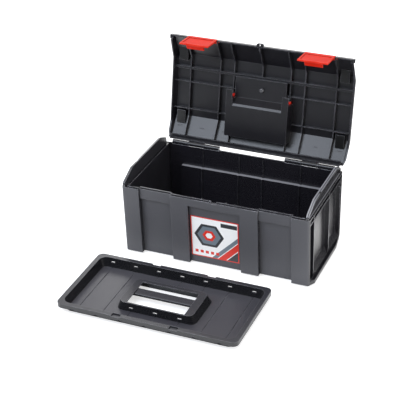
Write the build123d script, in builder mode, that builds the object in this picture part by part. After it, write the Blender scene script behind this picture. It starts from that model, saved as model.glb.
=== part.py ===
"""Moulded plastic tool box: tub, hinged lid, two draw latches, folding handle and lift-out tray.

It stands open, with the lid leaning back on its stop and the tray on the floor in front.
Millimetres. X runs along the front, -Y is the front and +Z is up. The origin is the
middle of the underside. The lid and what it carries are drawn shut and then swung open.
"""

import os
from math import atan2, degrees

from build123d import *

os.makedirs("parts", exist_ok=True)

# Tub shell
box_length = 402.0
box_depth = 217.0
rim_height = 156.0
wall_lean = 5.4
wall = 2.5
corner_radius = 5.0
pad_height = 3.0
pad_inset = 20.0
floor_thickness = 2.5
overrun = 8.0

# Front of the tub: pillars, latch bays with their catch bands, and the middle panel
bay_centre = 128.5
bay_width = 70.0
bay_depth = 11.0
band_depth = 4.5
band_height = 23.0
middle_width = 112.0
middle_depth = 8.0
middle_drop = 17.0
bead_height = 3.0
rim_flat = 4.0
tongue_rise = 2.0
nub_place = 26.0
nub_width = 6.0
nub_rise = 2.5
notch_width = 12.0
notch_depth = 2.0

# Ends of the tub: skirt, sunk panels between ribs, and trapezoid collar
skirt_height = 8.0
skirt_reach = 6.5
skirt_front_run = 11.0
skirt_rear_run = 42.0
end_depth = 9.0
end_edge = 5.0
end_rib = 2.5
end_rib_front = -77.0
end_rib_middle = 20.5
end_rib_inset = 14.5
end_foot = 12.0
end_slope = 14.0
end_bevel = 9.0
end_bevel_rise = 15.0
end_rear_bevel = 24.0
end_rear_drop = 14.0
groove_height = 8.5
groove_drop = 3.5
collar_height = 27.0
collar_setback = 7.5
collar_front_run = 41.0
collar_front_rise = 10.0
collar_rear_run = 30.0
collar_rear_rise = 14.0
collar_rear_setback = 7.5
collar_radius = 10.0
flange_step = 2.0
flange_thickness = 3.0
flange_width = 5.5
flange_notch = 9.0
flange_notch_place = -40.5

# Inside of the tub: tray ledge, ribs on the rear wall and tray supports on the front wall
ledge_drop = 46.0
ledge_depth = 8.0
ledge_length = 316.0
rib_thickness = 2.0
wall_rib_depth = 2.0
wall_rib_drop = 7.0
inner_rib_place = 27.0
outer_rib_place = 110.5
support_reach = 6.0
support_inner_place = 45.0
support_outer_place = 128.5

# Hinge
hinge_rise = 2.0
hinge_setback = 1.5
knuckle_radius = 4.9
knuckle_gap = 0.5
pin_radius = 2.0
pin_clearance = 0.05
cluster_inset = 19.0
cluster_length = 108.0
gusset_height = 14.0
open_angle = 101.0

# Lid
lid_length = 403.0
lid_rise = 47.0
lip_reach = 13.0
lip_height = 10.0
lip_gap = 6.0
lip_end = 8.0
lip_end_length = 6.0
front_slope_run = 44.5
rear_slope_run = 44.0
rear_lip_inset = 4.0
rear_lip_height = 12.5
rear_foot_gap = 2.5
rear_foot_length = 382.0
rear_flange_width = 9.0
rear_flange_height = 4.0
mark_length = 9.0
mark_width = 1.5
mark_depth = 0.8
seat_gap = 0.6
lid_bend_radius = 16.0
lid_bevel_run = 5.0
lid_bevel_drop = 12.0
lid_rib_depth = 9.0
ridge_place = -48.0
ridge_thickness = 5.0
cross_front_place = -17.5
cross_rear_place = 42.0
side_rib_place = 63.0
pocket_centre = 179.0
pocket_width = 19.0
pocket_depth = 14.0
pocket_front = -92.0
pocket_rear = 47.0
pocket_length = 28.0
eye_width = 15.0
eye_radius = 3.8
eye_bore_radius = 2.0
eye_thickness = 4.5
eye_reach = 2.3

# Handle pan in the lid, and the carry handle
pan_width = 114.0
pan_depth = 17.0
pan_front = -46.0
well_width = 138.0
well_depth = 37.0
well_front = -2.0
well_slope = 12.0
well_edge = 3.0
cheek_front = -21.0
cheek_inset = 1.5
well_rear = 80.0
gate_radius = 4.5
gate_height = 2.5
gate_taper = 40.0
gate_place = -24.0
gate_offset = 3.0
pivot_place = -2.0
pivot_drop = 8.5
lug_radius = 5.2
lug_clearance = 0.08
lug_reach = 8.5
handle_gap = 1.5
arm_width = 10.0
arm_thickness = 11.0
handle_reach = 66.0
grip_width = 22.0
grip_round = 4.5
grip_corner = 9.0
hang_angle = 11.0

# Latches
latch_width = 64.0
latch_thickness = 3.2
latch_length = 51.0
latch_knuckle = 4.7
latch_inset = 3.5
latch_rise = 6.0
peg_radius = 2.0
peg_clearance = 0.08
hook_width = 38.0
hook_reach = 11.0
hook_height = 5.0
hook_drop = 38.4
latch_notch_gap = 1.0
latch_rim = 1.2
latch_rim_width = 4.0
latch_rest = 6.0

# Label
label_width = 104.0
label_drop = 25.0
label_base = 19.0
label_offset = -2.0
label_thickness = 0.3

# Tray
tray_place_x = -43.3
tray_place_y = -258.5
tray_length = 378.0
tray_width = 195.0
tray_height = 21.6
tray_rim = 7.0
tray_wall = 2.0
tray_lean = 6.0
tray_radius = 12.0
rim_edge = 9.5
slot_step = 51.4
slot_count = 7
slot_width = 8.5
slot_height = 2.4
slot_place = 13.0
collar_slot_count = 3
collar_slot_place = 10.0
collar_rear_slot_place = 4.5
score_width = 1.6
score_depth = 0.9
collar_base_length = 169.0
collar_base_width = 94.5
collar_base_place = -0.25
collar_end_lean = 7.5
collar_top_width = 86.0
collar_top_place = -3.9
grip_hole_length = 122.0
grip_hole_width = 74.5
grip_hole_place = -7.0
bar_width = 22.5
bar_place = 1.25
bar_height = 6.3
bar_drop = 2.0
bar_round = 3.0
rim_notch_width = 18.0
rim_notch_depth = 2.5
rim_notch_place = 60.0

half_length = box_length / 2
half_depth = box_depth / 2
floor_height = pad_height + floor_thickness
wall_height = rim_height - pad_height
ledge_height = rim_height - ledge_drop
hinge_y = half_depth + hinge_setback
hinge_z = rim_height + hinge_rise
hinge_axis = Axis((0, hinge_y, hinge_z), (1, 0, 0))
bay_start = bay_centre - bay_width / 2
bay_end = bay_centre + bay_width / 2
band_bottom = rim_height - band_height
groove_high = rim_height - groove_drop
groove_low = groove_high - groove_height
recess_top = groove_low - end_rib


def lean_at(height):
    """How far the front and rear walls have leaned in at this height."""
    return wall_lean * (rim_height - height) / wall_height


def front_slab(near, far, low, high):
    """Outline of a slab that leans with the front wall, from one depth behind its face to another."""
    low_face = lean_at(low) - half_depth
    high_face = lean_at(high) - half_depth
    return [
        (low_face + near, low),
        (low_face + far, low),
        (high_face + far, high),
        (high_face + near, high),
    ]


def rear_slab(near, far, low, high):
    """The same for the rear wall."""
    return [(-y, z) for y, z in front_slab(near, far, low, high)]


def span(points, start, end, mode=Mode.ADD):
    """Runs an outline in Y and Z along X, from start to end, in the part being built."""
    with BuildSketch(Plane.YZ.offset(start)) as outline:
        Polygon(*points, align=None)
    extrude(outline.sketch, amount=end - start, mode=mode)


def hinge_knuckle(tail, start, end):
    """A hinge barrel and the web that ties it to its piece."""
    with BuildSketch(Plane.YZ.offset(start)) as barrel:
        with Locations((hinge_y, hinge_z)):
            Circle(knuckle_radius)
        Polygon(*tail, align=None)
    extrude(barrel.sketch, amount=end - start)


def swung_open(piece):
    """A piece that was drawn on the shut lid, where the open lid holds it."""
    return piece.rotate(hinge_axis, -open_angle)


# Each hinge has three equal knuckles: the tub's outer two carry the pin, the lid's turns between them
knuckle_step = cluster_length / 3
cluster_start = half_length - cluster_inset - cluster_length
lid_knuckle_start = cluster_start + knuckle_step
lid_knuckle_end = lid_knuckle_start + knuckle_step
cluster_end = half_length - cluster_inset

# Tub: one half is drawn and mirrored
inner_end = half_length - end_depth - wall
collar_inside = half_length - collar_setback
cut_top = rim_height + overrun
front_inside = bay_depth + wall
ledge_half = ledge_length / 2
rear_edge = half_depth - wall_lean
skirt_end = half_length + skirt_reach
collar_top = rim_height + collar_height
collar_front = -half_depth
collar_rear = half_depth - collar_rear_setback
end_rib_rear = half_depth - end_rib_inset
panel_front = end_rib_front + end_rib / 2
panel_rear = end_rib_rear - end_rib / 2
pad_length = box_length - 2 * pad_inset
pad_width = box_depth - 2 * pad_inset

with BuildPart() as tub:
    # Leaning shell and the pad that it stands on
    span(front_slab(0, box_depth, pad_height, rim_height), -half_length, half_length)
    span(rear_slab(0, box_depth, pad_height, rim_height), -half_length, half_length, Mode.INTERSECT)
    corners = tub.faces().filter_by(Axis.X).edges().filter_by(Axis.Y, reverse=True)
    fillet(corners, corner_radius)
    with BuildSketch():
        RectangleRounded(pad_length, pad_width, corner_radius)
    extrude(amount=floor_height)

    # Skirt along the foot of the end wall, with its corners cut off
    with BuildSketch(Plane.XY.offset(pad_height)):
        Polygon(
            (inner_end, -rear_edge + corner_radius),
            (half_length, -rear_edge + corner_radius),
            (skirt_end, -rear_edge + corner_radius + skirt_front_run),
            (skirt_end, rear_edge - corner_radius - skirt_rear_run),
            (half_length, rear_edge - corner_radius),
            (inner_end, rear_edge - corner_radius),
            align=None,
        )
    extrude(amount=skirt_height)

    # Collar above the end wall, under the lid's edge
    with BuildSketch(Plane.YZ.offset(collar_inside)) as collar:
        with BuildLine():
            collar_line = FilletPolyline(
                (collar_front, rim_height - wall),
                (collar_front, rim_height + collar_front_rise),
                (collar_front + collar_front_run, collar_top),
                (collar_rear - collar_rear_run, collar_top),
                (collar_rear, rim_height + collar_rear_rise),
                (collar_rear, rim_height - wall),
                radius=collar_radius,
            )
            Line(collar_line @ 1, collar_line @ 0)
        make_face()
    extrude(amount=wall)
    with BuildSketch(Plane.YZ.offset(collar_inside)):
        offset(collar.sketch_local, amount=-flange_step)
        offset(collar.sketch_local, amount=-flange_step - flange_thickness, mode=Mode.SUBTRACT)
    extrude(amount=flange_width)
    flange_gap = [
        (flange_notch_place, collar_top - 2 * flange_thickness),
        (flange_notch_place + flange_notch, collar_top - 2 * flange_thickness),
        (flange_notch_place + flange_notch, collar_top + overrun),
        (flange_notch_place, collar_top + overrun),
    ]
    span(flange_gap, collar_inside + wall, skirt_end, Mode.SUBTRACT)

    # Hollow, narrowed by the tray ledge on the rear wall
    cavity = [
        (lean_at(floor_height) - half_depth + front_inside, floor_height),
        (half_depth - lean_at(floor_height) - wall - ledge_depth, floor_height),
        (half_depth - lean_at(ledge_height) - wall - ledge_depth, ledge_height),
        (half_depth - lean_at(ledge_height) - wall, ledge_height),
        (half_depth - lean_at(cut_top) - wall, cut_top),
        (lean_at(cut_top) - half_depth + front_inside, cut_top),
    ]
    span(cavity, 0, inner_end, Mode.SUBTRACT)
    rear_pocket = rear_slab(wall, ledge_depth + 2 * wall, floor_height, cut_top)
    span(rear_pocket, ledge_half, inner_end, Mode.SUBTRACT)
    upper_hollow = rear_slab(wall, box_depth - front_inside, groove_high + wall, cut_top)
    span(upper_hollow, 0, collar_inside, Mode.SUBTRACT)
    with BuildSketch(Plane.XY.offset(floor_thickness)):
        RectangleRounded(pad_length - 2 * wall, pad_width - 2 * wall, corner_radius - wall)
    extrude(amount=pad_height, mode=Mode.SUBTRACT)

    # The wall keeps its thickness behind each pillar, band and panel
    deep = front_inside + wall
    pillar_pocket = front_slab(wall, deep, floor_height, cut_top)
    span(pillar_pocket, middle_width / 2 + wall, bay_start - wall, Mode.SUBTRACT)
    span(pillar_pocket, bay_end + wall, inner_end, Mode.SUBTRACT)
    band_pocket = front_slab(band_depth + wall, deep, band_bottom + wall, cut_top)
    span(band_pocket, bay_start - 2 * wall, bay_end + 2 * wall, Mode.SUBTRACT)
    span(front_slab(middle_depth + wall, deep, floor_height, cut_top), 0, middle_width / 2, Mode.SUBTRACT)
    top_pocket = front_slab(wall, deep, rim_height - middle_drop + wall, cut_top)
    span(top_pocket, 0, middle_width / 2 + 2 * wall, Mode.SUBTRACT)

    # Front recesses: latch bay, catch band and middle panel
    span(front_slab(-overrun, bay_depth, -overrun, band_bottom), bay_start, bay_end, Mode.SUBTRACT)
    span(front_slab(-overrun, band_depth, band_bottom, cut_top), bay_start, bay_end, Mode.SUBTRACT)
    middle = front_slab(-overrun, middle_depth, -overrun, rim_height - middle_drop)
    span(middle, 0, middle_width / 2, Mode.SUBTRACT)

    # The front rim widens inwards to a flat, with a tongue along its inner edge
    bead_bottom = rim_height - bead_height
    tongue_top = rim_height + tongue_rise
    for start, end, face in ((0, bay_start, 0), (bay_start, bay_end, band_depth), (bay_end, inner_end, 0)):
        tongue = face + rim_flat
        span(front_slab(face + wall / 2, tongue + wall, bead_bottom, rim_height), start, end)
        span(front_slab(tongue, tongue + wall, bead_bottom, tongue_top), start, end)
    with BuildSketch(Plane.XZ.offset(half_depth - rim_flat)):
        Polygon(
            (nub_place - nub_width / 2, rim_height),
            (nub_place + nub_width / 2, rim_height),
            (nub_place, tongue_top + nub_rise),
            align=None,
        )
    extrude(amount=-wall)

    # Rear recess below the ledge keeps that wall thin too
    rear_recess = rear_slab(-overrun, ledge_depth, floor_height + wall, ledge_height - wall)
    span(rear_recess, 0, ledge_half - wall, Mode.SUBTRACT)

    # The end wall is sunk between its edges, and thin ribs stand round its panels
    low_edge = half_depth - lean_at(end_foot) - end_edge
    high_edge = half_depth - lean_at(recess_top) - end_edge
    rim_edge_y = half_depth - lean_at(groove_high) - end_edge
    half_rib = end_rib / 2
    middle_front = end_rib_middle - half_rib
    middle_rear = end_rib_middle + half_rib
    bevel_top = end_foot + end_bevel_rise
    with BuildSketch(Plane.YZ.offset(half_length)):
        Polygon(
            (-low_edge, end_foot),
            (end_rib_front - half_rib, end_foot),
            (end_rib_front - half_rib, recess_top),
            (-high_edge, recess_top),
            align=None,
        )
        Polygon(
            (panel_front, recess_top),
            (panel_front, bevel_top),
            (panel_front + end_bevel, end_foot),
            (middle_front - end_bevel, end_foot),
            (middle_front, bevel_top),
            (middle_front, recess_top),
            align=None,
        )
        Polygon(
            (middle_rear, recess_top),
            (middle_rear, bevel_top),
            (middle_rear + end_bevel, end_foot),
            (panel_rear - end_bevel, end_foot),
            (panel_rear, bevel_top),
            (panel_rear, recess_top - end_rear_drop),
            (panel_rear - end_rear_bevel, recess_top),
            align=None,
        )
        Polygon(
            (end_rib_rear + half_rib, end_foot),
            (low_edge, end_foot),
            (high_edge, recess_top),
            (end_rib_rear + half_rib, recess_top),
            align=None,
        )
        Polygon(
            (-high_edge, groove_low),
            (high_edge, groove_low),
            (rim_edge_y, groove_high),
            (-rim_edge_y, groove_high),
            align=None,
        )
        with Locations(
            (end_rib_front, groove_high - groove_height / 2),
            (end_rib_middle, groove_high - groove_height / 2),
        ):
            Rectangle(end_rib, groove_height, mode=Mode.SUBTRACT)
    extrude(amount=-end_depth, mode=Mode.SUBTRACT)

    # Slope at the foot of the panels, out to the skirt
    end_face = half_length - end_depth
    with BuildSketch(Plane.XZ.offset(-panel_rear)):
        Polygon(
            (end_face - wall / 2, end_foot - wall / 2),
            (half_length, end_foot - wall / 2),
            (half_length, end_foot),
            (end_face, end_foot + end_slope),
            (end_face - wall / 2, end_foot + end_slope),
            align=None,
        )
    extrude(amount=panel_rear - panel_front)

    # Ribs on the rear wall, and supports that carry the front of the tray
    rib_top = rim_height - wall_rib_drop
    rib_root = floor_height - wall / 2
    for place in (inner_rib_place, outer_rib_place):
        upper = rear_slab(wall / 2, wall + wall_rib_depth, ledge_height - wall, rib_top)
        lower = rear_slab(ledge_depth, ledge_depth + wall + wall_rib_depth, rib_root, ledge_height)
        span(upper, place - rib_thickness / 2, place + rib_thickness / 2)
        span(lower, place - rib_thickness / 2, place + rib_thickness / 2)
    for place in (support_inner_place, support_outer_place):
        support = front_slab(bay_depth, front_inside + support_reach, rib_root, ledge_height)
        span(support, place - rib_thickness / 2, place + rib_thickness / 2)

    # Hinge: the rim is relieved for the lid's knuckle, then the tub's own knuckles are added
    with BuildSketch(Plane.YZ.offset(cluster_start - knuckle_gap)):
        with Locations((hinge_y, hinge_z)):
            Circle(knuckle_radius + knuckle_gap)
    extrude(amount=cluster_length + 2 * knuckle_gap, mode=Mode.SUBTRACT)
    gusset = [
        (half_depth - wall, hinge_z - knuckle_radius),
        (half_depth - lean_at(rim_height - gusset_height) - wall / 2, rim_height - gusset_height),
        (hinge_y + knuckle_radius, hinge_z - knuckle_radius / 2),
        (hinge_y, hinge_z),
    ]
    hinge_knuckle(gusset, cluster_start, lid_knuckle_start - knuckle_gap / 2)
    hinge_knuckle(gusset, lid_knuckle_end + knuckle_gap / 2, cluster_end)
    with BuildSketch(Plane.YZ.offset(cluster_start)):
        with Locations((hinge_y, hinge_z)):
            Circle(pin_radius + pin_clearance)
    extrude(amount=cluster_length, mode=Mode.SUBTRACT)

    split(bisect_by=Plane.YZ, keep=Keep.TOP)
    mirror(about=Plane.YZ)

    # Notch in the front rim under the lid's padlock eye
    notch = front_slab(-overrun, front_inside, rim_height - notch_depth, cut_top)
    span(notch, -notch_width / 2, notch_width / 2, Mode.SUBTRACT)
tub.part.label = "tub"
export_step(tub.part, "parts/tub.step")

# Hinge pins, a rod in each row of knuckles
for side, name in ((-1, "hinge_pin_left"), (1, "hinge_pin_right")):
    with BuildPart() as hinge_pin:
        with BuildSketch(Plane.YZ.offset(side * cluster_start)):
            with Locations((hinge_y, hinge_z)):
                Circle(pin_radius)
        extrude(amount=side * cluster_length)
    hinge_pin.part.label = name
    export_step(hinge_pin.part, f"parts/{name}.step")

# Label on the middle panel
with BuildPart() as front_label:
    label_top = rim_height - middle_drop - label_drop
    sticker = front_slab(middle_depth - label_thickness, middle_depth, label_base, label_top)
    span(sticker, label_offset - label_width / 2, label_offset + label_width / 2)
front_label.part.label = "front_label"
export_step(front_label.part, "parts/front_label.step")

# Lid, drawn shut: lips, slopes and flat top in one bent skin, round outside and sharp inside
lid_height = rim_height + lid_rise
lip_front = -half_depth - lip_reach
lip_bottom = rim_height + lip_gap
lip_top = lip_bottom + lip_height
rear_lip = half_depth - rear_lip_inset
rear_lip_bottom = rim_height + collar_rear_rise - wall
rear_lip_top = rear_lip_bottom + rear_lip_height
rear_foot = rim_height + rear_foot_gap
skin_foot = rim_height - 4 * overrun
lid_half = lid_length / 2
seat = collar_top + seat_gap
front_bend = lip_front + front_slope_run
rear_bend = rear_lip - rear_slope_run
rib_half = rib_thickness / 2

skin_corners = [
    (lip_front, skin_foot),
    (lip_front, lip_top),
    (front_bend, lid_height),
    (rear_bend, lid_height),
    (rear_lip, rear_lip_top),
    (rear_lip, skin_foot),
]
with BuildSketch(Plane.YZ) as skin:
    with BuildLine():
        skin_line = FilletPolyline(*skin_corners, radius=lid_bend_radius)
        Line(skin_line @ 1, skin_line @ 0)
    make_face()
with BuildSketch(Plane.YZ) as core:
    Polygon(*skin_corners, align=None)

# What is cut away under the lid: the line of its end walls, which follows the collar
with BuildSketch(Plane.YZ) as under_lid:
    Polygon(
        (lip_front - overrun, skin_foot - overrun),
        (lip_front - overrun, lip_bottom),
        (lip_front + 2 * wall, lip_bottom),
        (collar_front + collar_front_run - seat_gap, seat),
        (collar_rear - collar_rear_run + seat_gap, seat),
        (collar_rear + seat_gap, rim_height + collar_rear_rise + seat_gap),
        (collar_rear + 2 * seat_gap, rear_lip_bottom),
        (rear_lip + overrun, rear_lip_bottom),
        (rear_lip + overrun, skin_foot - overrun),
        align=None,
    )

# A rib's outline: the strip between the skin and the ribs' free edge
with BuildSketch(Plane.YZ) as rib_side:
    add(core.sketch_local)
    offset(core.sketch_local, amount=-wall - lid_rib_depth, mode=Mode.SUBTRACT)

pan_floor = lid_height - pan_depth
well_floor = lid_height - well_depth
latch_half = latch_width / 2
latch_y = lip_front + latch_inset
latch_z = lip_bottom + latch_rise
pivot_z = lid_height - pivot_drop
pan_sky = lid_height + overrun
pan_points = [
    (pan_front, pan_sky),
    (pan_front, pan_floor),
    (well_front + well_slope, pan_floor),
    (well_front + well_slope, pan_sky),
]
slope_end = well_front + well_slope
slope_steepness = (pan_floor - well_floor) / well_slope
well_points = [
    (well_front, pan_sky),
    (well_front, pan_floor),
    (slope_end - well_edge / 2, well_floor + slope_steepness * well_edge / 2),
    (slope_end + well_edge, well_floor),
    (well_rear, well_floor),
    (well_rear, pan_sky),
]
cheek_points = [
    (well_front, pan_sky),
    (well_front, well_floor),
    (well_rear, well_floor),
    (well_rear, pan_sky),
]
latch_rib_places = (bay_centre - latch_half - 2 * rib_half, bay_centre + latch_half + 2 * rib_half)


def sunk(points, start, end):
    """A block under the lid's skin, which a pocket is then sunk into."""
    with BuildSketch(Plane.YZ.offset(start)) as block:
        Polygon(*points, align=None)
        add(skin.sketch_local, mode=Mode.INTERSECT)
    extrude(block.sketch, amount=end - start)


def hollowed(points, start, end):
    """The hollow of such a pocket, one wall inside it."""
    with BuildSketch(Plane.YZ.offset(start)) as hollow:
        Polygon(*points, align=None)
        offset(amount=-wall, mode=Mode.REPLACE)
    extrude(hollow.sketch, amount=end - start, mode=Mode.SUBTRACT)


with BuildPart() as lid_inside:
    # Hollow under the skin; the lid's ends are bevelled, and so is this
    bevel_start = lid_half - lid_bevel_run
    with BuildSketch(Plane.YZ):
        offset(core.sketch_local, amount=-wall)
    extrude(amount=bevel_start - wall)
    with BuildSketch(Plane.YZ.offset(bevel_start - wall)):
        offset(core.sketch_local, amount=-wall)
    with BuildSketch(Plane.YZ.offset(lid_half - wall)):
        offset(core.sketch_local, amount=-wall - lid_bevel_drop)
    loft(ruled=True)

    # Ribs left standing from front to rear, with a half rib on the middle line that ends at the ridge
    for place in (side_rib_place, *latch_rib_places):
        with BuildSketch(Plane.YZ.offset(place - rib_half)):
            add(rib_side.sketch_local)
        extrude(amount=rib_thickness, mode=Mode.SUBTRACT)
    with BuildSketch(Plane.YZ):
        add(rib_side.sketch_local)
        with Locations((ridge_place, lid_height)):
            Rectangle(box_depth, box_depth, align=(Align.MIN, Align.CENTER), mode=Mode.SUBTRACT)
    extrude(amount=rib_half, mode=Mode.SUBTRACT)

    # Ribs left standing from end to end: the thick ridge, and thin ones that stop at the pan
    for place, start, thickness in (
        (ridge_place, 0, ridge_thickness),
        (cross_front_place, pan_width / 2 - wall, rib_thickness),
        (cross_rear_place, well_width / 2 - wall, rib_thickness),
    ):
        with BuildSketch(Plane.XY.offset(lid_height - wall - lid_rib_depth)):
            with Locations((start, place)):
                Rectangle(lid_half - start, thickness, align=(Align.MIN, Align.CENTER))
        extrude(amount=lid_rib_depth + wall, mode=Mode.SUBTRACT)

with BuildPart() as shut_lid:
    with BuildSketch(Plane.YZ):
        add(skin.sketch_local)
    extrude(amount=bevel_start)
    with BuildSketch(Plane.YZ.offset(bevel_start)):
        add(skin.sketch_local)
    with BuildSketch(Plane.YZ.offset(lid_half)):
        offset(skin.sketch_local, amount=-lid_bevel_drop)
    loft(ruled=True)
    add(lid_inside.part, mode=Mode.SUBTRACT)
    with BuildSketch(Plane.YZ):
        add(under_lid.sketch_local)
    extrude(amount=lid_half, mode=Mode.SUBTRACT)

    # Front lip out to square corners, and the rear lip's foot with its stiffening flange
    front_lip = [
        (lip_front, lip_bottom),
        (lip_front + wall, lip_bottom),
        (lip_front + wall, lip_top),
        (lip_front, lip_top),
    ]
    span(front_lip, 0, lid_half)
    lip_block = [
        (lip_front, lip_bottom),
        (lip_front + lip_end, lip_bottom),
        (lip_front + lip_end, lip_top),
        (lip_front, lip_top),
    ]
    span(lip_block, lid_half - lip_end_length, lid_half)
    foot = [
        (rear_lip - wall, rear_foot),
        (rear_lip, rear_foot),
        (rear_lip, rear_lip_top),
        (rear_lip - wall, rear_lip_top),
    ]
    span(foot, 0, rear_foot_length / 2)
    flange_foot = rear_lip_bottom - rear_flange_height / 2
    rear_flange = [
        (rear_lip - rear_flange_width, flange_foot),
        (rear_lip - wall / 2, flange_foot),
        (rear_lip - wall / 2, flange_foot + rear_flange_height),
        (rear_lip - rear_flange_width, flange_foot + rear_flange_height),
    ]
    span(rear_flange, 0, rear_foot_length / 2)

    # Moulding marks on the inside of the rear slope, one between each pair of ribs
    slope_run = rear_lip - rear_bend
    slope_fall = lid_height - rear_lip_top
    slope_length = (slope_run**2 + slope_fall**2) ** 0.5
    mark_y = (rear_bend + rear_lip) / 2 - wall * slope_fall / slope_length
    mark_z = (lid_height + rear_lip_top) / 2 - wall * slope_run / slope_length
    slope_angle = -degrees(atan2(slope_fall, slope_run))
    mark_places = (
        (side_rib_place + latch_rib_places[0]) / 2,
        bay_centre,
        (latch_rib_places[1] + lid_half - wall) / 2,
    )
    for place in mark_places:
        with BuildSketch(Plane.YZ.offset(place - mark_length / 2)):
            with Locations(Location((mark_y, mark_z), slope_angle)):
                Rectangle(mark_width, 2 * mark_depth)
        extrude(amount=mark_length, mode=Mode.SUBTRACT)

    # Handle pan with its deeper finger well, and the stacking pockets at the corners
    sunk(pan_points, 0, pan_width / 2)
    sunk(well_points, 0, pan_width / 2)
    sunk(cheek_points, pan_width / 2 - wall, well_width / 2)
    pocket_start = pocket_centre - pocket_width / 2
    pocket_end = pocket_centre + pocket_width / 2
    for place in (pocket_front, pocket_rear):
        pocket = [
            (place, pan_sky),
            (place, lid_height - pocket_depth),
            (place + pocket_length, lid_height - pocket_depth),
            (place + pocket_length, pan_sky),
        ]
        sunk(pocket, pocket_start, pocket_end)
        hollowed(pocket, pocket_start + wall, pocket_end - wall)
    hollowed(pan_points, 0, pan_width / 2 - wall)
    hollowed(well_points, 0, well_width / 2 - wall)
    hollowed(cheek_points, pan_width / 2, well_width / 2 - wall)
    with BuildSketch(Plane.YZ.offset(pan_width / 2 - 2 * wall)):
        with Locations((pivot_place, pivot_z)):
            Circle(lug_radius + lug_clearance)
    extrude(amount=2 * wall + lug_reach + knuckle_gap, mode=Mode.SUBTRACT)
    cheek_start = pan_width / 2 - cheek_inset
    with BuildSketch(Plane.XY.offset(well_floor)):
        with Locations((cheek_start, cheek_front)):
            Rectangle(
                well_width / 2 - cheek_start,
                well_front + wall - cheek_front,
                align=(Align.MIN, Align.MIN),
            )
    extrude(amount=wall)

    # Notch in the front lip for the latch, whose pegs turn in the ribs beside it
    notch_half = latch_half + latch_notch_gap
    with BuildSketch(Plane.XY.offset(lip_bottom - overrun)):
        with Locations((bay_centre, lip_front - overrun)):
            Rectangle(2 * notch_half, overrun + lip_height, align=(Align.CENTER, Align.MIN))
    extrude(amount=lid_height + overrun - lip_bottom, mode=Mode.SUBTRACT)
    with BuildSketch(Plane.YZ.offset(bay_centre - latch_half - overrun)):
        with Locations((latch_y, latch_z)):
            Circle(peg_radius + peg_clearance)
    extrude(amount=latch_width + 2 * overrun, mode=Mode.SUBTRACT)

    # Knuckle
    web = [
        (rear_lip - wall / 2, rear_foot),
        (hinge_y, hinge_z),
        (hinge_y, hinge_z + knuckle_radius),
        (rear_lip - wall / 2, rear_lip_bottom),
    ]
    hinge_knuckle(web, lid_knuckle_start + knuckle_gap / 2, lid_knuckle_end - knuckle_gap / 2)
    with BuildSketch(Plane.YZ.offset(cluster_start)):
        with Locations((hinge_y, hinge_z)):
            Circle(pin_radius + pin_clearance)
    extrude(amount=cluster_length, mode=Mode.SUBTRACT)

    split(bisect_by=Plane.YZ, keep=Keep.TOP)
    mirror(about=Plane.YZ)

    # Padlock eye on the front lip, and the moulding gate's boss under the pan
    eye_y = lip_front - eye_reach
    with BuildSketch(Plane.XY.offset(lip_bottom)):
        with Locations((0, eye_y)):
            SlotOverall(eye_width, 2 * eye_radius)
            Rectangle(eye_width, eye_reach + wall, align=(Align.CENTER, Align.MIN))
            Circle(eye_bore_radius, mode=Mode.SUBTRACT)
    extrude(amount=eye_thickness)
    with BuildSketch(Plane.XY.offset(pan_floor + wall / 2)):
        with Locations((gate_offset, gate_place)):
            Circle(gate_radius)
    extrude(amount=-gate_height - wall / 2, taper=gate_taper)
lid = swung_open(shut_lid.part)
lid.label = "lid"
export_step(lid, "parts/lid.step")

# Latches: a plate on a knuckle, pegs at its ends, and a hook for the tub's catch band
for side, name in ((-1, "latch_left"), (1, "latch_right")):
    with BuildPart() as latch:
        plate_face = latch_y - latch_knuckle
        plate_back = plate_face + latch_thickness
        with BuildSketch(Plane.YZ.offset(side * bay_centre)):
            with Locations((latch_y, latch_z)):
                Circle(latch_knuckle)
            Polygon(
                (plate_face, latch_z),
                (plate_face, latch_z - latch_length),
                (plate_back, latch_z - latch_length),
                (plate_back, latch_z),
                align=None,
            )
        extrude(amount=latch_half, both=True)
        hook_top = latch_z - hook_drop
        hook_tip = plate_back + hook_reach
        with BuildSketch(Plane.YZ.offset(side * bay_centre)):
            Polygon(
                (plate_back - latch_thickness / 2, hook_top),
                (hook_tip, hook_top),
                (hook_tip, hook_top - hook_height / 2),
                (plate_back, hook_top - 2 * hook_height),
                (plate_back - latch_thickness / 2, hook_top - 2 * hook_height),
                align=None,
            )
        extrude(amount=hook_width / 2, both=True)
        with BuildSketch(Plane.YZ.offset(side * bay_centre)):
            with Locations((latch_y, latch_z)):
                Circle(peg_radius)
        extrude(amount=latch_half + 4 * rib_half, both=True)
        with BuildSketch(Plane.XZ.offset(-plate_face)):
            with Locations((side * bay_centre, latch_z - latch_length / 2 - latch_knuckle / 2)):
                Rectangle(
                    latch_width - 2 * latch_rim_width,
                    latch_length - latch_knuckle - 2 * latch_rim_width,
                )
        extrude(amount=-latch_rim, mode=Mode.SUBTRACT)
    latch_axis = Axis((0, latch_y, latch_z), (1, 0, 0))
    latch_open = swung_open(latch.part.rotate(latch_axis, latch_rest))
    latch_open.label = name
    export_step(latch_open, f"parts/{name}.step")

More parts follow.
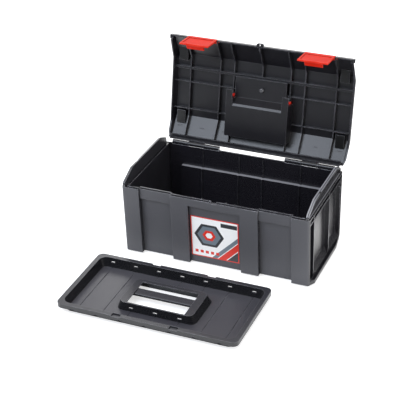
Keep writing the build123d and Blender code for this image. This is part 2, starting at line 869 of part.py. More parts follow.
# Carry handle: drawn folded into its pan, then let hang from its lugs
handle_half = pan_width / 2 - wall - handle_gap
handle_end = pivot_place + handle_reach
with BuildPart() as folded_handle:
    with BuildSketch(Plane.YZ):
        with Locations((pivot_place, pivot_z)):
            Circle(arm_thickness / 2)
            Rectangle(handle_reach, arm_thickness, align=(Align.MIN, Align.CENTER))
    extrude(amount=handle_half, both=True)
    with BuildSketch(Plane.XY.offset(pivot_z)):
        with Locations((0, handle_end - grip_width)):
            Rectangle(
                2 * (handle_half - arm_width),
                2 * handle_reach,
                align=(Align.CENTER, Align.MAX),
            )
    extrude(amount=arm_thickness, both=True, mode=Mode.SUBTRACT)
    fillet(folded_handle.edges().filter_by(Axis.X).group_by(Axis.Y)[-1], grip_round)
    with BuildSketch(Plane.XY.offset(pivot_z)):
        with Locations((handle_half, handle_end), (-handle_half, handle_end)):
            Rectangle(grip_corner, grip_corner, rotation=45)
    extrude(amount=arm_thickness, both=True, mode=Mode.SUBTRACT)
    with BuildSketch(Plane.YZ):
        with Locations((pivot_place, pivot_z)):
            Circle(lug_radius)
    extrude(amount=handle_half + handle_gap + wall + lug_reach, both=True)
    with BuildSketch(Plane.YZ):
        with Locations((pivot_place, pivot_z)):
            Circle(arm_thickness)
    extrude(amount=handle_half - arm_width, both=True, mode=Mode.SUBTRACT)
pivot_axis = Axis((0, pivot_place, pivot_z), (1, 0, 0))
carry_handle = swung_open(folded_handle.part.rotate(pivot_axis, hang_angle))
carry_handle.label = "carry_handle"
export_step(carry_handle, "parts/carry_handle.step")

# Tray, on the floor in front of the box
tray_foot = Plane(origin=(tray_place_x, tray_place_y, 0))
body_length = tray_length - 2 * tray_rim
body_width = tray_width - 2 * tray_rim
grip_top = tray_height - tray_wall / 2
tray_taper = degrees(atan2(tray_lean, tray_height))
collar_top_length = collar_base_length - 2 * collar_end_lean

with BuildPart() as tray:
    # Sloping walls under a flat rim with a turned-down edge
    with BuildSketch(tray_foot):
        RectangleRounded(body_length - 2 * tray_lean, body_width - 2 * tray_lean, tray_radius)
    extrude(amount=tray_height, taper=-tray_taper)
    with BuildSketch(tray_foot.offset(tray_height - rim_edge)):
        RectangleRounded(tray_length, tray_width, tray_radius)
    extrude(amount=rim_edge)
    with BuildSketch(tray_foot.offset(tray_wall)):
        RectangleRounded(
            body_length - 2 * tray_lean - 2 * tray_wall,
            body_width - 2 * tray_lean - 2 * tray_wall,
            tray_radius - tray_wall,
        )
    extrude(amount=tray_height, taper=-tray_taper, mode=Mode.SUBTRACT)

    # Score lines on the floor, in line with the divider slots
    with BuildSketch(tray_foot.offset(tray_wall)):
        with GridLocations(slot_step, 0, slot_count, 1):
            Rectangle(score_width, body_width - 2 * tray_lean - 2 * tray_wall)
    extrude(amount=-score_depth, mode=Mode.SUBTRACT)

    # The rim is hollow under its top, inside the turned-down edge
    trough = tray_rim - tray_wall
    with BuildSketch(tray_foot.offset(tray_height - rim_edge)):
        with GridLocations(0, body_width + trough, 1, 2):
            Rectangle(body_length - 2 * tray_radius, trough)
        with GridLocations(body_length + trough, 0, 2, 1):
            Rectangle(trough, body_width - 2 * tray_radius)
    extrude(amount=rim_edge - tray_wall, mode=Mode.SUBTRACT)

    # Raised collar round the hand hole, with a grip bar across it
    with BuildSketch(tray_foot):
        with Locations((0, collar_base_place)):
            RectangleRounded(collar_base_length, collar_base_width, tray_radius)
    with BuildSketch(tray_foot.offset(grip_top)):
        with Locations((0, collar_top_place)):
            RectangleRounded(collar_top_length, collar_top_width, tray_radius)
    loft(ruled=True)
    with BuildSketch(tray_foot.offset(-tray_wall)):
        with Locations((0, collar_base_place)):
            RectangleRounded(
                collar_base_length - 2 * tray_wall,
                collar_base_width - 2 * tray_wall,
                tray_radius - tray_wall,
            )
    with BuildSketch(tray_foot.offset(grip_top - tray_wall)):
        with Locations((0, collar_top_place)):
            RectangleRounded(
                collar_top_length - 2 * tray_wall,
                collar_top_width - 2 * tray_wall,
                tray_radius - tray_wall,
            )
    loft(ruled=True, mode=Mode.SUBTRACT)
    with BuildSketch(tray_foot.offset(grip_top - 2 * tray_wall)):
        with Locations((0, grip_hole_place)):
            Rectangle(grip_hole_length, grip_hole_width)
    extrude(amount=4 * tray_wall, mode=Mode.SUBTRACT)
    bar_middle = (tray_place_x, tray_place_y + bar_place, grip_top - bar_drop - bar_height / 2)
    with BuildSketch(Plane(origin=bar_middle, x_dir=(0, 1, 0), z_dir=(1, 0, 0))):
        RectangleRounded(bar_width, bar_height, bar_round)
    extrude(amount=collar_top_length / 2 - tray_wall / 2, both=True)

    # Divider slots through the long walls and their turned-down edge, and through the collar
    wall_slots = body_width / 2 - tray_lean - 2 * tray_wall
    wall_cut = tray_lean + 3 * tray_wall + tray_rim
    collar_cut = tray_lean + 3 * tray_wall
    collar_front_slots = collar_base_place - collar_base_width / 2 - tray_wall
    collar_rear_slots = collar_base_place + collar_base_width / 2 + tray_wall
    for place, height, count, cut in (
        (wall_slots, slot_place, slot_count, wall_cut),
        (-wall_slots, slot_place, slot_count, -wall_cut),
        (collar_front_slots, collar_slot_place, collar_slot_count, collar_cut),
        (collar_rear_slots, collar_rear_slot_place, collar_slot_count, -collar_cut),
    ):
        slot_middle = (tray_place_x, tray_place_y + place, height)
        with BuildSketch(Plane(origin=slot_middle, x_dir=(-1, 0, 0), z_dir=(0, 1, 0))):
            with GridLocations(slot_step, 0, count, 1):
                Rectangle(slot_width, slot_height)
        extrude(amount=cut, mode=Mode.SUBTRACT)

    # Notches in the long rims, each with its own floor and sides
    notch_floor = tray_height - rim_notch_depth
    rim_middle = (tray_width - tray_rim) / 2
    notch_places = GridLocations(2 * rim_notch_place, 2 * rim_middle, 2, 2)
    with BuildSketch(tray_foot.offset(notch_floor - tray_wall)):
        with notch_places:
            Rectangle(rim_notch_width + 2 * tray_wall, tray_rim)
    extrude(amount=rim_notch_depth)
    with BuildSketch(tray_foot.offset(notch_floor)):
        with notch_places:
            Rectangle(rim_notch_width, tray_rim + 2 * tray_wall)
    extrude(amount=rim_notch_depth, mode=Mode.SUBTRACT)
tray.part.label = "tray"
export_step(tray.part, "parts/tray.step")
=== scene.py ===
from math import cos, pi, radians, sin

import bpy
from mathutils import Matrix, Vector


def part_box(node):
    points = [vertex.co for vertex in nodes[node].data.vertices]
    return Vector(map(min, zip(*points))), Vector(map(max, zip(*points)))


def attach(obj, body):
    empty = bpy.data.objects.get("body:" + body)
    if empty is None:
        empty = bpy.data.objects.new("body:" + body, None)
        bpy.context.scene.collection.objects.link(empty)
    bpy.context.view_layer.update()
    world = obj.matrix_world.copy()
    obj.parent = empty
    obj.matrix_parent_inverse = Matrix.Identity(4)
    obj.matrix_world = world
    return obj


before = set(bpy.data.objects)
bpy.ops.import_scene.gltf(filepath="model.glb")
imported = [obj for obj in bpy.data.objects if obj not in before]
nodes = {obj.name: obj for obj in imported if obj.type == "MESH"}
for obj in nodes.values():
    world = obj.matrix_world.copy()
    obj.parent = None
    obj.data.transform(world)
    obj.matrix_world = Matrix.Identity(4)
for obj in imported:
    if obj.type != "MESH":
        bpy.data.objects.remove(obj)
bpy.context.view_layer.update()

# The tub is one injection moulding of dark polypropylene with a fine spark-eroded grain.
# Its walls lean out so that it leaves the mould, and pillars and bands stiffen them.
# The edges come out of the mould a little rounded; they are painted paler, partly as wear from use and
# partly as a painted highlight.


def plug(tree, value, socket):
    if isinstance(value, bpy.types.NodeSocket):
        tree.links.new(value, socket)
    else:
        socket.default_value = value


def node_tree(name):
    material = bpy.data.materials.new(name)
    material.use_nodes = True
    material.node_tree.nodes.clear()
    return material, material.node_tree


def add(tree, kind, **sockets):
    node = tree.nodes.new(kind)
    for name, value in sockets.items():
        plug(tree, value, node.inputs[name.replace("_", " ")])
    return node


def maths(tree, operation, *values):
    node = tree.nodes.new("ShaderNodeMath")
    node.operation = operation
    for value, socket in zip(values, node.inputs):
        plug(tree, value, socket)
    return node.outputs[0]


def above(tree, value, edge):
    return maths(tree, "GREATER_THAN", value, edge)


def below(tree, value, edge):
    return maths(tree, "LESS_THAN", value, edge)


def distance(tree, value, centre):
    return maths(tree, "ABSOLUTE", maths(tree, "SUBTRACT", value, centre))


def both_of(tree, first, second):
    return maths(tree, "MULTIPLY", first, second)


def either_of(tree, first, second):
    return maths(tree, "MAXIMUM", first, second)


def dot(tree, first, second):
    node = tree.nodes.new("ShaderNodeVectorMath")
    node.operation = "DOT_PRODUCT"
    plug(tree, first, node.inputs[0])
    plug(tree, second, node.inputs[1])
    return node.outputs["Value"]


# The Mix node repeats its sockets' names for each kind of data, so its colour sockets go by number
mix_factor, mix_first, mix_second, mix_result = 0, 6, 7, 2


def blend(tree, factor, first, second):
    node = tree.nodes.new("ShaderNodeMix")
    node.data_type = "RGBA"
    for index, value in ((mix_factor, factor), (mix_first, first), (mix_second, second)):
        plug(tree, value, node.inputs[index])
    return node.outputs[mix_result]


def spread(tree, value, span, result):
    node = tree.nodes.new("ShaderNodeMapRange")
    for number, socket in zip((value, *span, *result), node.inputs):
        plug(tree, number, socket)
    return node.outputs[0]


def noise(tree, place, scale, detail, roughness=0.5):
    node = add(tree, "ShaderNodeTexNoise", Vector=place, Scale=scale, Detail=detail, Roughness=roughness)
    return node.outputs[0]


def axes_of(tree, coordinates):
    source = add(tree, "ShaderNodeTexCoord").outputs[coordinates]
    return add(tree, "ShaderNodeSeparateXYZ", Vector=source).outputs


def paint(red, green, blue):
    linear = []
    for level in (red, green, blue):
        level /= 255
        linear.append(level / 12.92 if level <= 0.04045 else ((level + 0.055) / 1.055) ** 2.4)
    return (*linear, 1.0)


def toned(colour, factor):
    return (*(channel * factor for channel in colour[:3]), 1.0)


# Moulded skin: fine grain, cloudy colour, edges paler from wear and painted highlight, creases in painted
# shade
unit = (0.0, 1.0)
noise_span = (0.3, 0.7)
cloud_scale = 26.0
cloud_tone = 1.16
patch_span = (0.35, 0.65)
patch_wear_and_highlight = (0.25, 1.0)
rub_and_highlight_turn = (0.99, 0.82)
nook_reach = 0.003
proud_light = (0.55, 0.9)
crease_shade_span = (0.4, 0.88)
crease_shade_cover = (0.9, 0.0)
crease_shade_tone = 0.3
gloss_loss, gloss_gain = 0.05, 0.07
smooth_bump = 0.25
grained_bump = 0.6
edge_samples = 6
nook_samples = 8


def moulded_plastic(
    name, body, edge_rub_and_highlight, gloss, grain_scale, grain_depth, edge_radius, ior, matt_and_painted_light=None, painted_light=None, worn_and_lit=None
):
    material, tree = node_tree(name)
    place = add(tree, "ShaderNodeTexCoord").outputs["Object"]
    flat = add(tree, "ShaderNodeNewGeometry").outputs["Normal"]
    grain = noise(tree, place, scale=grain_scale, detail=3.0, roughness=0.6)
    cloud = noise(tree, place, scale=cloud_scale, detail=5.0, roughness=0.62)
    bevel = add(tree, "ShaderNodeBevel", Radius=edge_radius)
    bevel.samples = edge_samples
    edge = bevel.outputs[0]
    nook = add(tree, "ShaderNodeAmbientOcclusion", Distance=nook_reach)
    nook.samples = nook_samples
    nook.only_local = True
    light = nook.outputs["AO"]

    # Rounded edges are painted paler: partly wear, partly a painted highlight
    rubbed_and_lit_edge = spread(tree, dot(tree, edge, flat), rub_and_highlight_turn, unit)
    patchy = spread(tree, cloud, patch_span, patch_wear_and_highlight)
    wear_and_highlight = both_of(tree, both_of(tree, rubbed_and_lit_edge, patchy), spread(tree, light, proud_light, unit))
    if worn_and_lit:
        wear_and_highlight = both_of(tree, wear_and_highlight, worn_and_lit(tree))
    # Creases and corners are painted darker in the plastic's own colour: a painted shade
    crease_shade = spread(tree, light, crease_shade_span, crease_shade_cover)

    shade = blend(tree, spread(tree, cloud, noise_span, unit), body, toned(body, cloud_tone))
    rough = spread(tree, grain, noise_span, (gloss - gloss_loss, gloss + gloss_gain))
    bump = add(
        tree, "ShaderNodeBump", Strength=smooth_bump, Distance=grain_depth, Height=grain, Normal=edge
    )
    # The matt grain's colour, which on the tub and the tray also carries painted light
    if matt_and_painted_light:
        matt_and_light_colour, matt_rough, matt_and_light_mask = matt_and_painted_light
        matt_and_lit_skin = matt_and_light_mask(tree)
        shade = blend(tree, matt_and_lit_skin, shade, matt_and_light_colour)
        rough = maths(tree, "ADD", rough, both_of(tree, matt_and_lit_skin, matt_rough))
        plug(tree, spread(tree, matt_and_lit_skin, unit, (smooth_bump, grained_bump)), bump.inputs["Strength"])
    # Painted light over the faces that its mask picks: a painted highlight on the tub, painted shade on the
    # lid
    if painted_light:
        painted_light_colour, painted_light_mask = painted_light
        shade = blend(tree, painted_light_mask(tree), shade, painted_light_colour)
    colour = blend(tree, wear_and_highlight, shade, edge_rub_and_highlight)
    colour = blend(tree, crease_shade, colour, toned(body, crease_shade_tone))
    shader = add(
        tree, "ShaderNodeBsdfPrincipled", Base_Color=colour, Roughness=rough, IOR=ior, Normal=bump.outputs[0]
    )
    add(tree, "ShaderNodeOutputMaterial", Surface=shader.outputs[0])
    return material


def dress(name, material):
    slots = nodes[name].data.materials
    slots.clear()
    slots.append(material)


tub_low, tub_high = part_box("tub")
collar_height = 0.027
ledge_drop = 0.046
rim_height = tub_high.z - collar_height
ledge_height = rim_height - ledge_drop

# Grain covers front and rear below the rim; pillar sides stay darker as painted shade; end insides get
# painted light, most at the top
front_wall = tub_low.y + 0.0205
rear_wall = tub_high.y - 0.0249
rear_bands = tub_high.y - 0.0074
grain_top = rim_height - 0.0005
rearward = 0.3
sideways = 0.8
squarely_inward = -0.9
end_painted_light_heights = (rim_height - 0.008, rim_height + 0.002)
end_painted_light_shares = (0.16, 0.42)


def grain_and_painted_light(tree):
    x, y, z = axes_of(tree, "Object")
    facing_x, facing_y, _ = axes_of(tree, "Normal")
    front = below(tree, y, front_wall)
    rear = both_of(tree, above(tree, y, rear_wall), above(tree, facing_y, rearward))
    rear = either_of(tree, rear, above(tree, y, rear_bands))
    outside = both_of(tree, either_of(tree, front, rear), below(tree, z, grain_top))
    outside = both_of(tree, outside, below(tree, distance(tree, facing_x, 0.0), sideways))
    # Inside the ends the plastic is painted lighter, more towards the top: a painted light
    inward = both_of(tree, facing_x, maths(tree, "SIGN", x))
    lit_end_inside = both_of(
        tree, below(tree, inward, squarely_inward), spread(tree, z, end_painted_light_heights, end_painted_light_shares)
    )
    return either_of(tree, outside, lit_end_inside)


# The paler edges, wear and painted highlight, are full at the ends and the rim, where hands and the lid rub,
# and other edges keep a quarter of them
paled_end = tub_high.x - 0.0175
paled_foot = 0.03
paled_rim = rim_height - 0.006
sheltered_wear_and_highlight = 0.25


def handled_and_lit_edges(tree):
    x, _, z = axes_of(tree, "Object")
    at_end = both_of(tree, above(tree, distance(tree, x, 0.0), paled_end), above(tree, z, paled_foot))
    at_rim = above(tree, z, paled_rim)
    return spread(tree, either_of(tree, at_end, at_rim), unit, (sheltered_wear_and_highlight, 1.0))


# The upward faces of the rear ledge and of the right collar's top are painted lighter: a painted highlight
ledge_band = 0.001
collar_inside = tub_high.x - 0.0225
collar_foot = rim_height + 0.001
upward = 0.4
outward_limit = 0.5


def painted_highlight_tops(tree):
    x, y, z = axes_of(tree, "Object")
    facing_x, _, facing_z = axes_of(tree, "Normal")
    at_ledge = below(tree, distance(tree, z, ledge_height), ledge_band)
    ledge = both_of(tree, at_ledge, above(tree, y, rear_wall))
    collar = both_of(tree, above(tree, x, collar_inside), above(tree, z, collar_foot))
    collar = both_of(tree, collar, below(tree, facing_x, outward_limit))
    return both_of(tree, either_of(tree, ledge, collar), above(tree, facing_z, upward))


tub_dark = paint(28, 27, 32)
tub_rub_and_highlight = paint(222, 222, 230)
tub_painted_highlight = paint(140, 140, 146)
grain_and_painted_light_grey = paint(70, 70, 75)
dark_grain = 1800.0
tub_grain_roughness = 0.3
tub_plastic = moulded_plastic(
    "tub_plastic",
    tub_dark,
    tub_rub_and_highlight,
    gloss=0.24,
    grain_scale=dark_grain,
    grain_depth=0.00012,
    edge_radius=0.0009,
    ior=1.62,
    matt_and_painted_light=(grain_and_painted_light_grey, tub_grain_roughness, grain_and_painted_light),
    painted_light=(tub_painted_highlight, painted_highlight_tops),
    worn_and_lit=handled_and_lit_edges,
)
dress("tub", tub_plastic)

# Two drawn steel rods run through the rows of knuckles and hold lid and tub together.
# They are cut to length and pressed in, so only their dull ends show.

steel_dark = paint(142, 144, 147)
steel_bright = paint(196, 197, 199)
steel_gloss = (0.22, 0.42)
drawn_lines = (40.0, 2200.0, 2200.0)
line_depth = 0.00004


def drawn_steel(name):
    material, tree = node_tree(name)
    place = add(tree, "ShaderNodeTexCoord").outputs["Object"]
    along = add(tree, "ShaderNodeMapping", Vector=place, Scale=drawn_lines).outputs[0]
    lines = noise(tree, along, scale=1.0, detail=4.0)
    shader = add(
        tree,
        "ShaderNodeBsdfPrincipled",
        Base_Color=blend(tree, lines, steel_dark, steel_bright),
        Roughness=spread(tree, lines, noise_span, steel_gloss),
        Metallic=1.0,
        Normal=add(tree, "ShaderNodeBump", Strength=0.4, Distance=line_depth, Height=lines).outputs[0],
    )
    add(tree, "ShaderNodeOutputMaterial", Surface=shader.outputs[0])
    return material


pin_steel = drawn_steel("pin_steel")
for pin in ("hinge_pin_left", "hinge_pin_right"):
    dress(pin, pin_steel)

# The front label is a printed film, stuck in the sunk middle panel of the tub. Its print is a plain
# pattern in white, red, slate and dark grey under a thin varnish. The pattern's sizes and places are
# parts of the label's width and height, from its middle.

label_low, label_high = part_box("front_label")
paper = paint(250, 250, 249)
print_red = paint(222, 52, 38)
print_dark = paint(52, 54, 58)
print_slate = paint(112, 124, 134)
from_middle = (-0.5, 0.5)
hexagon_x, hexagon_y = -0.12, 0.06
hexagon_slant = radians(30)
hexagon_rings = ((0.27, print_dark), (0.215, print_slate), (0.12, print_red), (0.065, paper))
band_slope = 0.9
corner_bands = ((0.36, 0.47, print_slate), (0.49, 0.66, print_red), (0.68, 0.95, print_dark))
square_step = 0.055
square_fill = 0.033
row_x, row_y = -0.17, -0.37
row_half_length, row_half_height = 0.27, 0.035
bar_x, bar_y = 0.3, 0.38
bar_half_length, bar_half_height = 0.17, 0.05
edge_line = 0.478
film_scale = 900.0
film_depth = 0.00003
film_gloss = (0.3, 0.42)


def printed_film(name):
    material, tree = node_tree(name)
    place = add(tree, "ShaderNodeTexCoord").outputs["Object"]
    x, _, z = axes_of(tree, "Object")
    across = spread(tree, x, (label_low.x, label_high.x), from_middle)
    height = spread(tree, z, (label_low.z, label_high.z), from_middle)

    # A hexagon stands left of the middle, in rings of four colours
    side_x = distance(tree, across, hexagon_x)
    side_y = distance(tree, height, hexagon_y)
    slant_x = both_of(tree, side_x, cos(hexagon_slant))
    slant_y = both_of(tree, side_y, sin(hexagon_slant))
    hexagon = either_of(tree, maths(tree, "ADD", slant_x, slant_y), side_y)
    colour = paper
    for reach, ink in hexagon_rings:
        colour = blend(tree, below(tree, hexagon, reach), colour, ink)

    # Slanted bands cross the lower right corner
    rise = maths(tree, "SUBTRACT", across, both_of(tree, height, band_slope))
    for low, high, ink in corner_bands:
        band = both_of(tree, above(tree, rise, low), below(tree, rise, high))
        colour = blend(tree, band, colour, ink)

    # A row of small squares runs along the foot, and a bar along the top right
    from_left = maths(tree, "ADD", across, from_middle[1])
    squares = below(tree, maths(tree, "PINGPONG", from_left, square_step), square_fill)
    squares = both_of(tree, squares, below(tree, distance(tree, height, row_y), row_half_height))
    squares = both_of(tree, squares, below(tree, distance(tree, across, row_x), row_half_length))
    colour = blend(tree, squares, colour, print_red)
    bar = both_of(
        tree,
        below(tree, distance(tree, height, bar_y), bar_half_height),
        below(tree, distance(tree, across, bar_x), bar_half_length),
    )
    colour = blend(tree, bar, colour, print_dark)

    # A thin red line runs round the edge
    rim = either_of(tree, distance(tree, across, 0.0), distance(tree, height, 0.0))
    colour = blend(tree, above(tree, rim, edge_line), colour, print_red)

    film = noise(tree, place, scale=film_scale, detail=2.0)
    shader = add(
        tree,
        "ShaderNodeBsdfPrincipled",
        Base_Color=colour,
        Roughness=spread(tree, film, noise_span, film_gloss),
        Normal=add(tree, "ShaderNodeBump", Strength=0.2, Distance=film_depth, Height=film).outputs[0],
    )
    add(tree, "ShaderNodeOutputMaterial", Surface=shader.outputs[0])
    return material


dress("front_label", printed_film("label_print"))

# The lid is one dark polypropylene moulding: a bent skin with thin ribs behind it, a pan and
# finger well for the handle, and knuckles along its rear lip that the pins hold.
# It is grained outside and smooth inside, where the mould was polished.

lid_dark = paint(21, 20, 25)
lid_rub_and_highlight = paint(178, 178, 188)
pocket_painted_shade = paint(10, 10, 11)
lid_grain_roughness = 0.22
open_angle = radians(101)
lid_outward = (0.0, sin(open_angle), cos(open_angle))
outside_facing = 0.25
pocket_centre = 0.179
pocket_half = 0.0097
pocket_floor = 0.1086
pocket_band = 0.0011


def lid_outside(tree):
    facing = add(tree, "ShaderNodeTexCoord").outputs["Normal"]
    return above(tree, dot(tree, facing, lid_outward), outside_facing)


# The floors of the lid's pockets are painted near black: a painted shade
def shaded_pocket_floors(tree):
    place = add(tree, "ShaderNodeTexCoord").outputs["Object"]
    from_end = distance(tree, distance(tree, axes_of(tree, "Object")[0], 0.0), pocket_centre)
    from_floor = distance(tree, dot(tree, place, lid_outward), pocket_floor)
    return both_of(tree, below(tree, from_end, pocket_half), below(tree, from_floor, pocket_band))


lid_plastic = moulded_plastic(
    "lid_plastic",
    lid_dark,
    lid_rub_and_highlight,
    gloss=0.34,
    grain_scale=dark_grain,
    grain_depth=0.00012,
    edge_radius=0.0007,
    ior=1.62,
    matt_and_painted_light=(grain_and_painted_light_grey, lid_grain_roughness, lid_outside),
    painted_light=(pocket_painted_shade, shaded_pocket_floors),
)
dress("lid", lid_plastic)

# The gate stub is where the lid's plastic ran into the mould: a small dome under the handle pan.
# It is painted a lighter grey than the lid's dark plastic, a painted highlight, and is round and glassy
# where the runner broke off.

stub_place = (0.003, 0.163, 0.284)
stub_turn = pi - open_angle
stub_sides = 24
stub_radius = 0.0052
stub_height = 0.003
dome_steps = ((0.0004, 0.0022), (0.0012, 0.0017), (0.0014, 0.0007))
dome_levels = 2
into_box = -0.9

bpy.ops.object.select_all(action="DESELECT")
bpy.ops.mesh.primitive_cylinder_add(
    vertices=stub_sides,
    radius=stub_radius,
    depth=stub_height,
    location=stub_place,
    rotation=(stub_turn, 0.0, 0.0),
)
gate_stub = bpy.context.object
gate_stub.name = "gate_stub"
bpy.ops.object.transform_apply(location=True, rotation=True, scale=True)
bpy.ops.object.mode_set(mode="EDIT")
bpy.ops.mesh.select_all(action="DESELECT")
bpy.ops.object.mode_set(mode="OBJECT")
for face in gate_stub.data.polygons:
    face.select = face.normal.y < into_box
bpy.ops.object.mode_set(mode="EDIT")
for narrowing, rise in dome_steps:
    bpy.ops.mesh.inset(thickness=narrowing, depth=rise)
bpy.ops.object.mode_set(mode="OBJECT")
round_off = gate_stub.modifiers.new("round_off", "SUBSURF")
round_off.levels = dome_levels
round_off.render_levels = dome_levels
bpy.ops.object.modifier_apply(modifier="round_off")
bpy.ops.object.shade_smooth()

# The stub's lighter grey is a painted highlight
stub_highlight_grey = paint(70, 70, 74)
stub_plastic = moulded_plastic(
    "stub_plastic",
    stub_highlight_grey,
    lid_rub_and_highlight,
    gloss=0.12,
    grain_scale=dark_grain,
    grain_depth=0.00004,
    edge_radius=0.0003,
    ior=2.0,
)
gate_stub.data.materials.append(stub_plastic)
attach(gate_stub, "lid")

# Two draw latches close the box: a plate with a hook that snaps under the tub's catch band.
# They are red polypropylene, and their moulded pegs snap into the lid's front lip.

red = paint(209, 40, 24)
red_rub_and_highlight = paint(252, 150, 128)


def red_plastic(name):
    return moulded_plastic(
        name, red, red_rub_and_highlight, gloss=0.42, grain_scale=2400.0, grain_depth=0.00005, edge_radius=0.001, ior=1.12
    )


latch_plastic = red_plastic("latch_plastic")
for latch in ("latch_left", "latch_right"):
    dress(latch, latch_plastic)

# The carry handle is one moulding of the same red plastic, a bow with two arms.
# Its lugs snap through the cheeks of the lid's pan, so that it folds flat into it.

dress("carry_handle", red_plastic("handle_plastic"))

# The lift-out tray is a thin moulding of dark polypropylene, with a raised collar and grip bar.
# It is loose: it lies on the floor here, and in use it rests on the tub's rear ledge and front supports.
# Its floor and rims face up and are grained and painted lighter, partly as painted light, the rims less so,
# and its walls are polished.

tray_dark = paint(24, 24, 27)
tray_grain_and_light_grey = paint(64, 63, 69)
tray_rub_and_highlight = paint(190, 190, 198)
tray_grain_roughness = 0.06
floor_to_rim = (0.006, 0.02)
floor_to_rim_grain_and_light = (1.0, 0.55)
tray_upward = 0.6


# Upward faces are painted lighter than the walls: partly grain, partly a painted light
def tray_grain_and_painted_light(tree):
    level = above(tree, axes_of(tree, "Normal")[2], tray_upward)
    return both_of(tree, level, spread(tree, axes_of(tree, "Object")[2], floor_to_rim, floor_to_rim_grain_and_light))


tray_plastic = moulded_plastic(
    "tray_plastic",
    tray_dark,
    tray_rub_and_highlight,
    gloss=0.26,
    grain_scale=dark_grain,
    grain_depth=0.0001,
    edge_radius=0.0008,
    ior=1.55,
    matt_and_painted_light=(tray_grain_and_light_grey, tray_grain_roughness, tray_grain_and_painted_light),
)
dress("tray", tray_plastic)

# The box stands on a pale studio floor in a white room, under soft panels of light.
# Dark felt cards, which only reflections show, give the black plastic its shape.

white = (1.0, 1.0, 1.0, 1.0)
floor_grey = (0.86, 0.86, 0.86, 1.0)
floor_size = 14.0
floor_drop = 0.0005
floor_lift = 0.6
shade_reach = 0.05
shade_light = (0.4, 1.0)
room_light = 0.82
room_seen = 1.0


def floor_paint(name):
    material, tree = node_tree(name)
    path = add(tree, "ShaderNodeLightPath").outputs
    # In reflections the floor's glow is darker near the box: a painted shadow
    near_box = add(tree, "ShaderNodeAmbientOcclusion", Distance=shade_reach)
    near_box.samples = nook_samples
    mirrored = either_of(tree, path["Is Glossy Ray"], path["Is Transmission Ray"])
    mirrored = both_of(tree, mirrored, spread(tree, near_box.outputs["AO"], shade_light, unit))
    seen = both_of(tree, path["Is Camera Ray"], floor_lift)
    matte = add(tree, "ShaderNodeBsdfDiffuse", Color=floor_grey)
    lift = add(tree, "ShaderNodeEmission", Color=white, Strength=maths(tree, "ADD", seen, mirrored))
    both = tree.nodes.new("ShaderNodeAddShader")
    plug(tree, matte.outputs[0], both.inputs[0])
    plug(tree, lift.outputs[0], both.inputs[1])
    add(tree, "ShaderNodeOutputMaterial", Surface=both.outputs[0])
    return material


bpy.ops.object.select_all(action="DESELECT")
bpy.ops.mesh.primitive_plane_add(size=floor_size, location=(0.0, 0.0, -floor_drop))
floor = bpy.context.object
floor.name = "studio_floor"
floor.data.materials.append(floor_paint("studio_floor"))

world = bpy.data.worlds.new("white_room")
bpy.context.scene.world = world
world.use_nodes = True
room_tree = world.node_tree
room_tree.nodes.clear()
path = add(room_tree, "ShaderNodeLightPath").outputs
mirrored = either_of(room_tree, path["Is Glossy Ray"], path["Is Transmission Ray"])
seen = either_of(room_tree, path["Is Camera Ray"], mirrored)
strength = spread(room_tree, seen, unit, (room_light, room_seen))
room = add(room_tree, "ShaderNodeBackground", Color=white, Strength=strength)
add(room_tree, "ShaderNodeOutputWorld", Surface=room.outputs[0])


def softbox(name, place, aim, width, height, watts, tint=white[:3]):
    light = bpy.data.lights.new(name, "AREA")
    light.shape = "RECTANGLE"
    light.size = width
    light.size_y = height
    light.energy = watts
    light.color = tint
    lamp = bpy.data.objects.new(name, light)
    bpy.context.scene.collection.objects.link(lamp)
    lamp.location = place
    lamp.rotation_euler = (Vector(aim) - lamp.location).to_track_quat("-Z", "Y").to_euler()


softbox("overhead_panel", place=(-0.2, 0.3, 2.0), aim=(0.0, 0.0, 0.15), width=1.6, height=1.2, watts=5.0)
softbox(
    "front_left_panel",
    place=(-0.77, -1.5, 1.65),
    aim=(0.0, 0.0, 0.2),
    width=1.2,
    height=1.2,
    watts=23.5,
    tint=(0.76, 0.85, 1.0),
)
softbox("back_left_panel", place=(-0.8, 1.9, 1.25), aim=(-0.1, -0.2, 0.1), width=1.1, height=0.6, watts=6.0)
softbox("right_panel", place=(1.3, -0.5, 1.0), aim=(0.35, 0.0, 0.0), width=0.7, height=0.7, watts=4.0)

felt_dark = (0.05, 0.05, 0.05, 1.0)
felt_light = (0.09, 0.09, 0.09, 1.0)
felt_scale = 60.0
upright = pi / 2
end_shadow_card_turn = radians(73.04)


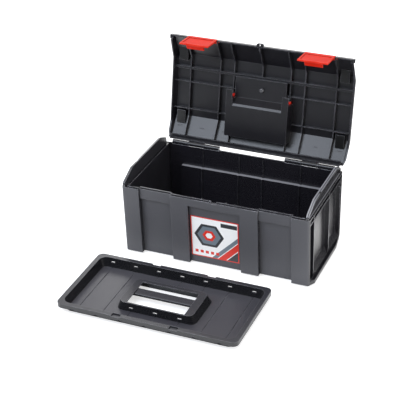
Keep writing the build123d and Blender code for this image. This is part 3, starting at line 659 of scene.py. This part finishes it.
def felt(name):
    material, tree = node_tree(name)
    place = add(tree, "ShaderNodeTexCoord").outputs["Object"]
    weave = noise(tree, place, scale=felt_scale, detail=2.0)
    matte = add(tree, "ShaderNodeBsdfDiffuse", Color=blend(tree, weave, felt_dark, felt_light))
    add(tree, "ShaderNodeOutputMaterial", Surface=matte.outputs[0])
    return material


card_felt = felt("dark_card")


def dark_card(name, place, width, height, tilt=0.0, turn=0.0):
    bpy.ops.object.select_all(action="DESELECT")
    bpy.ops.mesh.primitive_plane_add(size=1.0, location=place, rotation=(tilt, 0.0, turn))
    card = bpy.context.object
    card.name = name
    card.scale = (width, height, 1.0)
    card.visible_camera = False
    card.visible_diffuse = False
    card.visible_shadow = False
    card.data.materials.append(card_felt)


# One card stands in front and one at the right rear; two lie on the floor at the right rear, a painted
# shadow seen only in reflections
dark_card("front_card", place=(-0.2, -0.9, 0.46), width=4.0, height=0.9, tilt=upright)
dark_card("rear_card", place=(2.1, 1.7, 1.0), width=3.8, height=2.0, tilt=upright)
dark_card("floor_shadow_card", place=(1.17, 0.89, 0.0005), width=1.8, height=1.5)
dark_card("end_shadow_card", place=(0.1797, 0.2468, 0.0008), width=0.25, height=0.15, turn=end_shadow_card_turn)

# The camera stands at the photograph's place, to the right of the box and above it.
# It is a long lens, so that the box hardly narrows with distance.

camera_place = (0.8492, -2.1233, 1.4143)
camera_right = Vector((0.9221, 0.3862, -0.0242))
camera_up = Vector((-0.1723, 0.4658, 0.8679))
camera_ahead = Vector((-0.3465, 0.7962, -0.4961))
sensor_width = 36.0
focal_length = 114.76
view_depth = 50.0

lens = bpy.data.cameras.new("photo_camera")
lens.sensor_width = sensor_width
lens.lens = focal_length
lens.clip_end = view_depth
camera = bpy.data.objects.new("photo_camera", lens)
bpy.context.scene.collection.objects.link(camera)
turned = Matrix((camera_right, camera_up, -camera_ahead)).transposed().to_4x4()
camera.matrix_world = Matrix.Translation(camera_place) @ turned
bpy.context.scene.camera = camera
bpy.context.scene.view_settings.view_transform = "Standard"
